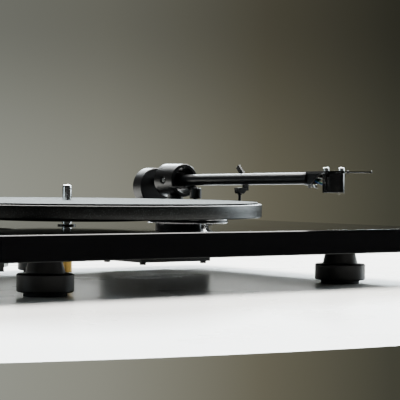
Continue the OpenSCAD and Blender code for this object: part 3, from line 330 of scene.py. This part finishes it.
# Hardened steel, ground and polished: bright, with a fine unevenness that softens its highlights
ground_steel, tree, shader = new_finish("ground_polished_steel", Metallic=1.0)
place = add(tree, "ShaderNodeTexCoord")
marks = add(tree, "ShaderNodeTexNoise", {
    "Vector": place.outputs["Object"], "Scale": 1 / grinding_mark, "Detail": 1.0})
tint = add(tree, "ShaderNodeMix", {
    "Factor": marks.outputs["Fac"], "A": linear("#c3c6c8"), "B": linear("#dddedd")}, data_type="RGBA")
tree.links.new(tint.outputs["Result"], shader.inputs["Base Color"])
worn = add(tree, "ShaderNodeMapRange", {"Value": marks.outputs["Fac"], "To Min": 0.07, "To Max": 0.19})
tree.links.new(worn.outputs["Result"], shader.inputs["Roughness"])

bearing = welded("bearing_housing", "base", "bearing_housing_turned", brass, 0.1 * mm)
slab_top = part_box("plinth")[1].z
# the faces of the housing above the slab's top take the black lacquer instead of the brass
bearing.data.materials.append(lacquer)
for face in bearing.data.polygons:
    if face.center.z > slab_top:
        face.material_index = 1
welded("bearing_nut", "base", "bearing_nut_turned", brass, 0.2 * mm)
welded("bearing_bushes", "base", "bearing_bushes_pressed", bronze, 0)
welded("thrust_ball", "turntable", "thrust_ball_ground", ground_steel, 0)
welded("spindle_shaft", "turntable", "spindle_ground", ground_steel, 0.08 * mm, 2, 25)

# ---------------------------------------------------------------- sub-platter and platter
# The belt runs on a moulded sub-platter. The platter is a steel disc with a heavy ring bonded
# under its edge, coated all over with black powder that has a fine sparkle baked into it.
moulding_flow = mm / 0.14        # 7.1 mm
sparkle_pitch = 0.55 * mm        # drawn coarser than the real 0.1 mm flakes, so that they show
powder_peel = mm / 1.1           # 0.91 mm

# Phenolic moulding: dark brown-black, smooth, with a dull shine
phenolic, tree, shader = new_finish("moulded_phenolic", IOR=1.6)
place = add(tree, "ShaderNodeTexCoord")
flow = add(tree, "ShaderNodeTexNoise", {
    "Vector": place.outputs["Object"], "Scale": 1 / moulding_flow, "Detail": 5.0})
tint = add(tree, "ShaderNodeMix", {
    "Factor": flow.outputs["Fac"], "A": linear("#0f0d0c"), "B": linear("#1d1916")}, data_type="RGBA")
tree.links.new(tint.outputs["Result"], shader.inputs["Base Color"])
worn = add(tree, "ShaderNodeMapRange", {"Value": flow.outputs["Fac"], "To Min": 0.3, "To Max": 0.46})
tree.links.new(worn.outputs["Result"], shader.inputs["Roughness"])
welded("sub_platter", "turntable", "sub_platter_moulded", phenolic, 0.2 * mm)

# Powder coat with flake: satin black, with pinpoints that flash where the light grazes it
powder, tree, shader = new_finish("sparkle_powder_coat", IOR=1.3)
place = add(tree, "ShaderNodeTexCoord")
flakes = add(tree, "ShaderNodeTexVoronoi", {"Vector": place.outputs["Object"], "Scale": 1 / sparkle_pitch})
random = add(tree, "ShaderNodeSeparateColor", {"Color": flakes.outputs["Color"]})
flash = add(tree, "ShaderNodeMapRange", {
    "Value": random.outputs["Red"], "From Min": 0.84, "From Max": 1.0, "To Min": 0.0, "To Max": 0.3})
peel = add(tree, "ShaderNodeTexNoise", {
    "Vector": place.outputs["Object"], "Scale": 1 / powder_peel, "Detail": 3.0})
tint = add(tree, "ShaderNodeMix", {
    "Factor": flash.outputs["Result"], "A": linear("#060707"), "B": linear("#59615f")}, data_type="RGBA")
tree.links.new(tint.outputs["Result"], shader.inputs["Base Color"])
tree.links.new(flash.outputs["Result"], shader.inputs["Metallic"])
shine = add(tree, "ShaderNodeMapRange", {"Value": flash.outputs["Result"], "To Min": 0.33, "To Max": 0.2})
tree.links.new(shine.outputs["Result"], shader.inputs["Roughness"])
relief = add(tree, "ShaderNodeBump", {"Height": peel.outputs["Fac"], "Strength": 0.5, "Distance": 0.09 * mm})
tree.links.new(relief.outputs["Normal"], shader.inputs["Normal"])

rim_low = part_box("platter_rim")[0]
disc_low, disc_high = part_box("platter")
axis_x, axis_y = (disc_low.x + disc_high.x) / 2, (disc_low.y + disc_high.y) / 2
platter_r = (disc_high.x - disc_low.x) / 2
platter_steps = 240
rim_wall = 4 * mm
edge_round = 1.0 * mm
corner = 1.5 * mm                # the slope between the disc's underside and the ring
inner_break = 0.3 * mm           # the broken edge inside the ring, at its foot
bore_r = 3.88 * mm               # the disc's hole round the spindle, as in the CAD model
seam = 0.001 * mm                # where a spin closes, corners nearer than this are one


def spun(outline, name, finish, centre, steps):
    """Spins an outline of (radius, height) points into a closed solid about a vertical axis."""
    bm = bmesh.new()
    ring = [bm.verts.new((r, 0, z)) for r, z in outline]
    edges = [bm.edges.new((a, b)) for a, b in zip(ring, ring[1:] + ring[:1])]
    bmesh.ops.spin(bm, geom=ring + edges, axis=(0, 0, 1), cent=(0, 0, 0), angle=2 * math.pi,
                   steps=steps, use_merge=True)
    bmesh.ops.remove_doubles(bm, verts=bm.verts, dist=seam)
    bmesh.ops.recalc_face_normals(bm, faces=bm.faces)
    bmesh.ops.translate(bm, verts=bm.verts, vec=centre)
    return piece_from(bm, name, finish)


wall_r = platter_r - rim_wall
lower_turn = [math.radians(a) for a in (22.5, 45, 67.5, 90)]
upper_turn = [math.radians(a) for a in (0, 22.5, 45, 67.5, 90)]
platter_outline = [
    (bore_r, disc_low.z), (wall_r - corner, disc_low.z), (wall_r, disc_low.z - corner),
    (wall_r, rim_low.z + inner_break), (wall_r + inner_break, rim_low.z), (platter_r - edge_round, rim_low.z)]
platter_outline += [(platter_r - edge_round * (1 - math.sin(a)), rim_low.z + edge_round * (1 - math.cos(a)))
                    for a in lower_turn]
platter_outline += [(platter_r - edge_round * (1 - math.cos(a)), disc_high.z - edge_round * (1 - math.sin(a)))
                    for a in upper_turn]
platter_outline += [(bore_r, disc_high.z)]
platter = spun(platter_outline, "platter_coated", powder, (axis_x, axis_y, 0), platter_steps)
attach(platter, "turntable")
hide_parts("platter", "platter_rim")

# ---------------------------------------------------------------- felt mat
# A loose disc punched from 1.5 mm pressed wool felt. It lies flat on the platter, its cut edge
# slightly crushed and its face raised by loose fibres that turn pale where the light grazes them.
mat_low, mat_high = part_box("mat")
mat_r = (mat_high.x - mat_low.x) / 2
mat_hole_r = 4.375 * mm          # as in the CAD model
mat_steps = 180
mat_rings = 14
crushed = 0.7 * mm               # the width of the edge that the punch crushed
crush_depth = 0.28               # mm
fibre = 0.55 * mm                # drawn coarser than the real 0.03 mm wool, so that it shows
tuft = 3.5 * mm

# Pressed wool felt: charcoal, fully matt face-on, with a pale bloom of fibres at a low angle
felt, tree, shader = new_finish(
    "pressed_wool_felt", Roughness=1.0,
    Sheen_Weight=1.0, Sheen_Roughness=0.3, Sheen_Tint=linear("#f4f8f7"))
place = add(tree, "ShaderNodeTexCoord")
threads = add(tree, "ShaderNodeTexNoise",
              {"Vector": place.outputs["Object"], "Scale": 1 / fibre, "Detail": 5.0, "Roughness": 0.7,
               "Distortion": 1.4})
clumps = add(tree, "ShaderNodeTexNoise", {
    "Vector": place.outputs["Object"], "Scale": 1 / tuft, "Detail": 3.0})
mixed = add(tree, "ShaderNodeMath", {
    0: threads.outputs["Fac"], 1: clumps.outputs["Fac"]}, operation="MULTIPLY")
tone = add(tree, "ShaderNodeMapRange", {"Value": mixed.outputs["Value"], "From Min": 0.12, "From Max": 0.42})
tint = add(tree, "ShaderNodeMix", {
    "Factor": tone.outputs["Result"], "A": linear("#090a0a"), "B": linear("#232526")}, data_type="RGBA")
tree.links.new(tint.outputs["Result"], shader.inputs["Base Color"])
relief = add(tree, "ShaderNodeBump", {
    "Height": threads.outputs["Fac"], "Strength": 0.55, "Distance": 0.25 * mm})
tree.links.new(relief.outputs["Normal"], shader.inputs["Normal"])

# Cut felt: the punched edge is dense, with no loose fibres to catch the light; its colour is painted darker
# than the felt's face, as painted shade for the dark line along the mat's edge
cut_felt_painted_shade, tree, shader = new_finish("cut_edge_of_felt_painted_shade", Roughness=1.0, Specular_IOR_Level=0.1)
place = add(tree, "ShaderNodeTexCoord")
layers = add(tree, "ShaderNodeTexNoise", {
    "Vector": place.outputs["Object"], "Scale": 1 / fibre, "Detail": 3.0})
tint = add(tree, "ShaderNodeMix", {
    "Factor": layers.outputs["Fac"], "A": linear("#020202"), "B": linear("#0b0b0c")}, data_type="RGBA")
tree.links.new(tint.outputs["Result"], shader.inputs["Base Color"])

bm = bmesh.new()
rings = [mat_hole_r, mat_hole_r + 0.4 * mm]
rings += [mat_hole_r + (mat_r - mat_hole_r) * k / mat_rings for k in range(1, mat_rings)]
rings += [mat_r - crushed, mat_r - 0.2 * mm, mat_r]
line = [bm.verts.new((r, 0, 0)) for r in rings]
edges = [bm.edges.new((a, b)) for a, b in zip(line, line[1:])]
bmesh.ops.spin(bm, geom=line + edges, axis=(0, 0, 1), cent=(0, 0, 0), angle=2 * math.pi,
               steps=mat_steps, use_merge=True)
bmesh.ops.remove_doubles(bm, verts=bm.verts, dist=seam)
bmesh.ops.recalc_face_normals(bm, faces=bm.faces)
if sum(f.normal.z for f in bm.faces) < 0:
    bmesh.ops.reverse_faces(bm, faces=bm.faces)
lifted = bmesh.ops.extrude_face_region(bm, geom=bm.faces[:])
raised = [v for v in lifted["geom"] if isinstance(v, bmesh.types.BMVert)]
thickness = mat_high.z - mat_low.z
bmesh.ops.translate(bm, verts=raised, vec=(0, 0, thickness))
bmesh.ops.recalc_face_normals(bm, faces=bm.faces)
for v in bm.verts:
    r = math.hypot(v.co.x, v.co.y)
    angle = math.atan2(v.co.y, v.co.x)
    if v.co.z > thickness / 2:
        crush = max(0.0, (r - mat_r + crushed) / crushed)
        lie = 0.05 * math.sin(3 * angle + r * 60) + 0.04 * math.sin(7 * angle - r * 95) + 0.09
        v.co.z -= (crush_depth * crush * crush + lie) * mm
bmesh.ops.translate(bm, verts=bm.verts, vec=(axis_x, axis_y, mat_low.z))
felt_mat = piece_from(bm, "felt_mat", felt, 50)
# the side faces of the mat take the cut edge's darker colour, which is painted shade
felt_mat.data.materials.append(cut_felt_painted_shade)
for face in felt_mat.data.polygons:
    if abs(face.normal.z) < 0.5:
        face.material_index = 1
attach(felt_mat, "turntable")
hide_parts("mat")

# ---------------------------------------------------------------- motor and belt
# A closed synchronous motor hangs through the slab in a rubber ring on a pressed steel plate.
# Its turned pulley drives the sub-platter through a flat rubber belt.
etch_grain = mm / 3.2            # 0.31 mm

# Aluminium, turned and satin-etched: soft bright metal with a fine frosted grain
satin_aluminium, tree, shader = new_finish("satin_turned_aluminium", Metallic=1.0)
place = add(tree, "ShaderNodeTexCoord")
etch = add(tree, "ShaderNodeTexNoise", {
    "Vector": place.outputs["Object"], "Scale": 1 / etch_grain, "Detail": 2.0})
tint = add(tree, "ShaderNodeMix", {
    "Factor": etch.outputs["Fac"], "A": linear("#bfc1c3"), "B": linear("#e0e1e1")}, data_type="RGBA")
tree.links.new(tint.outputs["Result"], shader.inputs["Base Color"])
worn = add(tree, "ShaderNodeMapRange", {"Value": etch.outputs["Fac"], "To Min": 0.12, "To Max": 0.22})
tree.links.new(worn.outputs["Result"], shader.inputs["Roughness"])

welded("motor_body", "base", "motor_can", zinc, 0.5 * mm, 3)
welded("motor_bracket", "base", "motor_plate", zinc, 0.2 * mm)
welded("motor_screws", "base", "motor_screws_plated", zinc, 0.1 * mm)
welded("motor_grommet", "base", "motor_rubber_ring", nitrile, 0.4 * mm, 3)
welded("motor_shaft", "motor_rotor", "motor_shaft_ground", ground_steel, 0.1 * mm)
welded("pulley", "motor_rotor", "pulley_turned", satin_aluminium, 0.08 * mm, 2, 25)
welded("drive_belt", "base", "drive_belt_rubber", nitrile, 0)

# ---------------------------------------------------------------- power switch
# A small rocker switch turns in a moulded housing, which is screwed under the front left edge of
# the slab. Both are black ABS; the rocker is polished.
hair_scratch = mm / 1.5          # 0.67 mm

# ABS, polished mould: piano black with a few hair scratches
gloss_abs, tree, shader = new_finish("polished_abs", Base_Color=linear("#070708"), IOR=1.53)
place = add(tree, "ShaderNodeTexCoord")
hair = add(tree, "ShaderNodeTexNoise", {
    "Vector": place.outputs["Object"], "Scale": 1 / hair_scratch, "Detail": 2.0, "Distortion": 2.5})
worn = add(tree, "ShaderNodeMapRange", {
    "Value": hair.outputs["Fac"], "From Min": 0.45, "From Max": 0.7, "To Min": 0.09, "To Max": 0.2})
tree.links.new(worn.outputs["Result"], shader.inputs["Roughness"])
welded("switch_housing", "base", "switch_housing_moulded", moulded_abs, 0.3 * mm, 3)
welded("power_rocker", "rocker", "power_rocker_moulded", gloss_abs, 0.3 * mm, 3)

# ---------------------------------------------------------------- arm base and gimbal
# The arm stands on a thin turned disc with a round pedestal that holds two ball bearings. The
# gimbal is a machined ring: it swings on the shaft in the pedestal, and two pointed screws
# through its sides carry the sleeve that the tube tilts in.
blast_grain = 0.22 * mm
dye_cloud = mm / 0.12            # 8.3 mm

# Aluminium, glass-blasted and anodised black: satin, with a tight bright line on each turned edge
anodised, tree, shader = new_finish("black_anodised_aluminium", IOR=1.32)
place = add(tree, "ShaderNodeTexCoord")
blast = add(tree, "ShaderNodeTexNoise", {
    "Vector": place.outputs["Object"], "Scale": 1 / blast_grain, "Detail": 2.0})
dye = add(tree, "ShaderNodeTexNoise", {
    "Vector": place.outputs["Object"], "Scale": 1 / dye_cloud, "Detail": 2.0})
tint = add(tree, "ShaderNodeMix", {
    "Factor": dye.outputs["Fac"], "A": linear("#060606"), "B": linear("#0c0c0d")}, data_type="RGBA")
tree.links.new(tint.outputs["Result"], shader.inputs["Base Color"])
worn = add(tree, "ShaderNodeMapRange", {"Value": blast.outputs["Fac"], "To Min": 0.24, "To Max": 0.34})
tree.links.new(worn.outputs["Result"], shader.inputs["Roughness"])
relief = add(tree, "ShaderNodeBump", {
    "Height": blast.outputs["Fac"], "Strength": 0.12, "Distance": 0.02 * mm})
tree.links.new(relief.outputs["Normal"], shader.inputs["Normal"])

welded("arm_base", "base", "arm_base_turned", anodised, 0.45 * mm, 3)
welded("arm_base_screws", "base", "arm_base_screws_black", anodised, 0.1 * mm)
welded("arm_bearings", "base", "arm_bearings_ground", ground_steel, 0.1 * mm)
welded("swing_shaft", "arm_yoke", "swing_shaft_ground", ground_steel, 0.1 * mm)
welded("gimbal_ring", "arm_yoke", "gimbal_ring_machined", anodised, 0.25 * mm, 3)
welded("pivot_screws", "arm_yoke", "pivot_screws_ground", ground_steel, 0.08 * mm)
welded("pivot_sleeve", "arm", "pivot_sleeve_turned", anodised, 0.2 * mm)

# ---------------------------------------------------------------- tube, stub and counterweight
# The tube is wound from carbon fibre and clear-coated. An aluminium stub is glued into its back
# end, and the painted counterweight slides on the stub and is locked by one grub screw.
tow = 1.6 * mm                   # width of one woven bundle
paint_peel = mm / 0.9            # 1.1 mm

# Carbon fibre under satin clear coat: black, with a faint twill that shows only near a highlight
carbon, tree, shader = new_finish("clear_coated_carbon", Roughness=0.3, IOR=1.3)
place = add(tree, "ShaderNodeTexCoord")
warp = add(tree, "ShaderNodeTexWave",
           {"Vector": place.outputs["Object"], "Scale": wave_repeat / tow, "Distortion": 0.2, "Detail": 0.0},
           wave_type="BANDS", bands_direction="DIAGONAL")
bundles = add(tree, "ShaderNodeTexChecker", {
    "Vector": place.outputs["Object"], "Scale": 1 / tow, "Color1": (1, 1, 1, 1), "Color2": (0, 0, 0, 1)})
twill = add(tree, "ShaderNodeMath", {0: warp.outputs["Fac"], 1: bundles.outputs["Fac"]}, operation="MULTIPLY")
tint = add(tree, "ShaderNodeMix", {
    "Factor": twill.outputs["Value"], "A": linear("#0a0a0b"), "B": linear("#1a1c1e")}, data_type="RGBA")
tree.links.new(tint.outputs["Result"], shader.inputs["Base Color"])
relief = add(tree, "ShaderNodeBump", {
    "Height": twill.outputs["Value"], "Strength": 0.06, "Distance": 0.02 * mm})
tree.links.new(relief.outputs["Normal"], shader.inputs["Normal"])

# Baked satin paint on zinc: black and smooth, with a soft orange-peel highlight
satin_paint, tree, shader = new_finish("baked_satin_paint", Base_Color=linear("#070708"), IOR=1.32)
place = add(tree, "ShaderNodeTexCoord")
peel = add(tree, "ShaderNodeTexNoise", {
    "Vector": place.outputs["Object"], "Scale": 1 / paint_peel, "Detail": 2.0})
worn = add(tree, "ShaderNodeMapRange", {"Value": peel.outputs["Fac"], "To Min": 0.3, "To Max": 0.42})
tree.links.new(worn.outputs["Result"], shader.inputs["Roughness"])
relief = add(tree, "ShaderNodeBump", {"Height": peel.outputs["Fac"], "Strength": 0.1, "Distance": 0.03 * mm})
tree.links.new(relief.outputs["Normal"], shader.inputs["Normal"])

welded("arm_tube", "arm", "arm_tube_carbon", carbon, 0)
welded("rear_stub", "arm", "rear_stub_turned", satin_aluminium, 0.15 * mm)
welded("counterweight", "weight", "counterweight_painted", satin_paint, 0.3 * mm, 3)
welded("counterweight_screw", "weight", "counterweight_grub", zinc, 0.08 * mm)

# ---------------------------------------------------------------- headshell and cartridge
# The headshell is one carbon piece, turned to the offset angle. A thin finger lift is pinned to
# its side, and a wing screw under the collar sets its tilt. The cartridge hangs from two cap
# screws, with its stylus holder pushed on from the front.
gold_stain = mm / 1.2            # 0.83 mm
silicone_cloud = mm / 1.4        # 0.71 mm

# Gold over brass, plated: warm bright metal, a little cloudy, that doesn't tarnish
gold, tree, shader = new_finish("gold_plated_brass", Metallic=1.0, Roughness=0.18)
place = add(tree, "ShaderNodeTexCoord")
stain = add(tree, "ShaderNodeTexNoise", {
    "Vector": place.outputs["Object"], "Scale": 1 / gold_stain, "Detail": 2.0})
tint = add(tree, "ShaderNodeMix", {
    "Factor": stain.outputs["Fac"], "A": linear("#d6a64b"), "B": linear("#f0cf86")}, data_type="RGBA")
tree.links.new(tint.outputs["Result"], shader.inputs["Base Color"])

welded("headshell", "arm", "headshell_carbon", carbon, 0.15 * mm)
welded("finger_lift", "arm", "finger_lift_bent", anodised, 0.15 * mm)
welded("clamp_screw", "arm", "clamp_screw_wing", ground_steel, 0.1 * mm)
welded("cartridge_body", "arm", "cartridge_body_moulded", gloss_abs, 0.15 * mm)
welded("stylus_holder", "arm", "stylus_holder_moulded", gloss_abs, 0.15 * mm)
welded("cartridge_screws", "arm", "cartridge_screws_cap", satin_aluminium, 0.1 * mm)
welded("cartridge_pins", "arm", "cartridge_pins_plated", gold, 0.05 * mm)
welded("cantilever", "arm", "cantilever_drawn", satin_aluminium, 0)

# Leads: silicone over fine strands, one colour to each channel, with a soft waxy shine
for lead, colour, light in (
        ("lead_red", "#b3261c", "#cf4a3c"), ("lead_blue", "#1f4f9c", "#3f73bd"),
        ("lead_green", "#1f8a4c", "#4cae74"), ("lead_white", "#dedcd2", "#f1efe8")):
    silicone, tree, shader = new_finish("silicone_" + lead, Roughness=0.4, IOR=1.43)
    place = add(tree, "ShaderNodeTexCoord")
    cloud = add(tree, "ShaderNodeTexNoise", {
        "Vector": place.outputs["Object"], "Scale": 1 / silicone_cloud, "Detail": 2.0})
    tint = add(tree, "ShaderNodeMix", {
        "Factor": cloud.outputs["Fac"], "A": linear(colour), "B": linear(light)}, data_type="RGBA")
    tree.links.new(tint.outputs["Result"], shader.inputs["Base Color"])
    welded(lead, "arm", lead + "_sleeved", silicone, 0, sharp=50)

# ---------------------------------------------------------------- cueing lift and armrest
# A small tower on the base disc holds a damped piston, and the curved bar on it raises the tube
# when the steel lever is turned. The tube parks on a moulded rest, beside a swinging clip.
welded("lift_tower", "base", "lift_tower_turned", anodised, 0.15 * mm)
welded("lift_bar", "lift", "lift_bar_stamped", anodised, 0.2 * mm, 3)
welded("cue_lever", "lever", "cue_lever_polished", ground_steel, 0.1 * mm)
welded("armrest_cradle", "base", "armrest_moulded", moulded_abs, 0.2 * mm)
welded("clip_upright", "base", "clip_upright_moulded", moulded_abs, 0.15 * mm)
welded("arm_clip", "clip", "arm_clip_moulded", moulded_abs, 0.15 * mm)

# ---------------------------------------------------------------- connection box
# A moulded box screwed under the back of the slab holds the socket board. Its rear wall carries
# two phono sockets, the ground post and the low-voltage power inlet.
insert_r = 3.21 * mm             # the coloured insert's rim, as in the CAD model
insert_start = 9 * mm            # how far out along the socket the insert begins
glass_weave = mm / 1.4           # 0.71 mm
nylon_cloud = 1.25 * mm

# Glass-epoxy board with solder mask: dark green, with the weave just visible
board, tree, shader = new_finish("solder_masked_board", Roughness=0.35, IOR=1.55)
place = add(tree, "ShaderNodeTexCoord")
weave = add(tree, "ShaderNodeTexChecker", {
    "Vector": place.outputs["Object"], "Scale": 1 / glass_weave,
    "Color1": linear("#0f3a22"), "Color2": linear("#14492c")})
tree.links.new(weave.outputs["Color"], shader.inputs["Base Color"])
welded("socket_board", "base", "socket_board_etched", board, 0)

# Black zinc on steel: a dark satin metal, a little browner where the passivation pooled
black_zinc, tree, shader = new_finish("black_zinc_plated_steel", Metallic=1.0, Roughness=0.42)
place = add(tree, "ShaderNodeTexCoord")
cloud = add(tree, "ShaderNodeTexNoise", {
    "Vector": place.outputs["Object"], "Scale": 1 / plating_cloud, "Detail": 3.0})
tint = add(tree, "ShaderNodeMix", {
    "Factor": cloud.outputs["Fac"], "A": linear("#111213"), "B": linear("#231f1b")}, data_type="RGBA")
tree.links.new(tint.outputs["Result"], shader.inputs["Base Color"])
welded("connection_box", "base", "connection_box_moulded", moulded_abs, 0.3 * mm, 3)
welded("box_screws", "base", "box_screws_plated", black_zinc, 0.1 * mm)
welded("ground_post", "base", "ground_post_turned", ground_steel, 0.15 * mm)
welded("power_inlet", "base", "power_inlet_moulded", moulded_abs, 0.2 * mm)

# Nylon, moulded round the contact: plain strong colour with a soft shine
for socket, slot_name, colour in (
        ("phono_socket_red", "socket_red", "#b01f1a"), ("phono_socket_white", "socket_white", "#e9e7df")):
    insulator, tree, shader = new_finish("nylon_insert_" + socket, Base_Color=linear(colour), IOR=1.53)
    place = add(tree, "ShaderNodeTexCoord")
    cloud = add(tree, "ShaderNodeTexNoise", {"Vector": place.outputs["Object"], "Scale": 1 / nylon_cloud})
    worn = add(tree, "ShaderNodeMapRange", {"Value": cloud.outputs["Fac"], "To Min": 0.35, "To Max": 0.5})
    tree.links.new(worn.outputs["Result"], shader.inputs["Roughness"])
    made = welded(socket, "base", socket + "_plated", gold, 0.1 * mm)
    made.data.materials.append(insulator)
    low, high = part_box(socket)
    middle_x, middle_z = (low.x + high.x) / 2, (low.z + high.z) / 2
    for face in made.data.polygons:
        centre = face.center
        inside = math.hypot(centre.x - middle_x, centre.z - middle_z) < insert_r * 0.98
        if inside and centre.y > low.y + insert_start:
            face.material_index = 1
